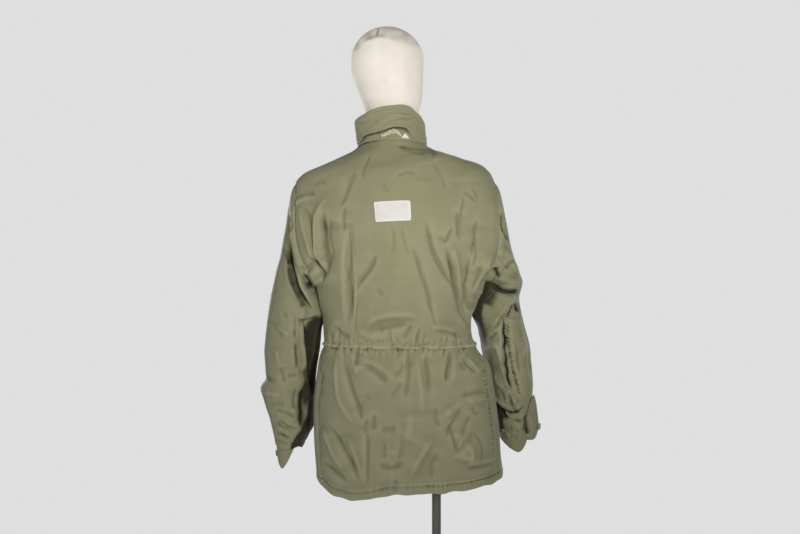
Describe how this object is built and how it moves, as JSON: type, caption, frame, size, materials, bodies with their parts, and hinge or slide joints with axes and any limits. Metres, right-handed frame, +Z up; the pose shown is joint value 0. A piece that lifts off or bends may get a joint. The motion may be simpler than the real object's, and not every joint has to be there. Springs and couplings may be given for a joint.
{
  "type": "field jacket on a limbless dress form with a pole and round base",
  "caption": "Olive cotton field jacket with a stand-up collar, drawn-in waist and pointed cuff guards, worn by a canvas-covered limbless dress form on a pole and a round base.",
  "frame": {"origin": "middle of the round base's underside, on the floor", "axes": "+Z up the pole to the head, the jacket's front faces -Y and the wearer's left is +X"},
  "size_m": [0.6405, 0.36, 1.76],
  "materials": {
    "olive_cloth": "matt cotton sateen, washed and creased, faded along folds and seams",
    "olive_trim": "matt woven cotton tape",
    "white_tape": "plain white cotton tape, slightly puckered at its stitches",
    "form_canvas": "taut unbleached cotton canvas over padding",
    "stand_metal": "dark grey powder coat, satin"
  },
  "bodies": {
    "root": {"back": "olive_cloth", "front_left": "olive_cloth", "front_right": "olive_cloth", "casing_back": "olive_cloth", "casing_left": "olive_cloth", "casing_right": "olive_cloth", "sleeve_left": "olive_cloth", "sleeve_right": "olive_cloth", "collar": "olive_cloth", "collar_flap": "olive_cloth", "hanger_loop": "olive_trim", "tape_tip": "white_tape", "label": "white_tape", "pocket_chest_left": "olive_cloth", "flap_chest_left": "olive_cloth", "flap_hip_left": "olive_cloth", "pocket_chest_right": "olive_cloth", "flap_chest_right": "olive_cloth", "flap_hip_right": "olive_cloth", "fly": "olive_cloth", "cuff_guard_left": "olive_cloth", "cuff_guard_right": "olive_cloth", "cuff_flare_right": "olive_cloth", "cuff_tab_left": "olive_cloth", "cuff_tab_right": "olive_cloth", "form": "form_canvas", "base_plate": "stand_metal", "base_socket": "stand_metal", "pole": "stand_metal"}
  },
  "joints": []
}
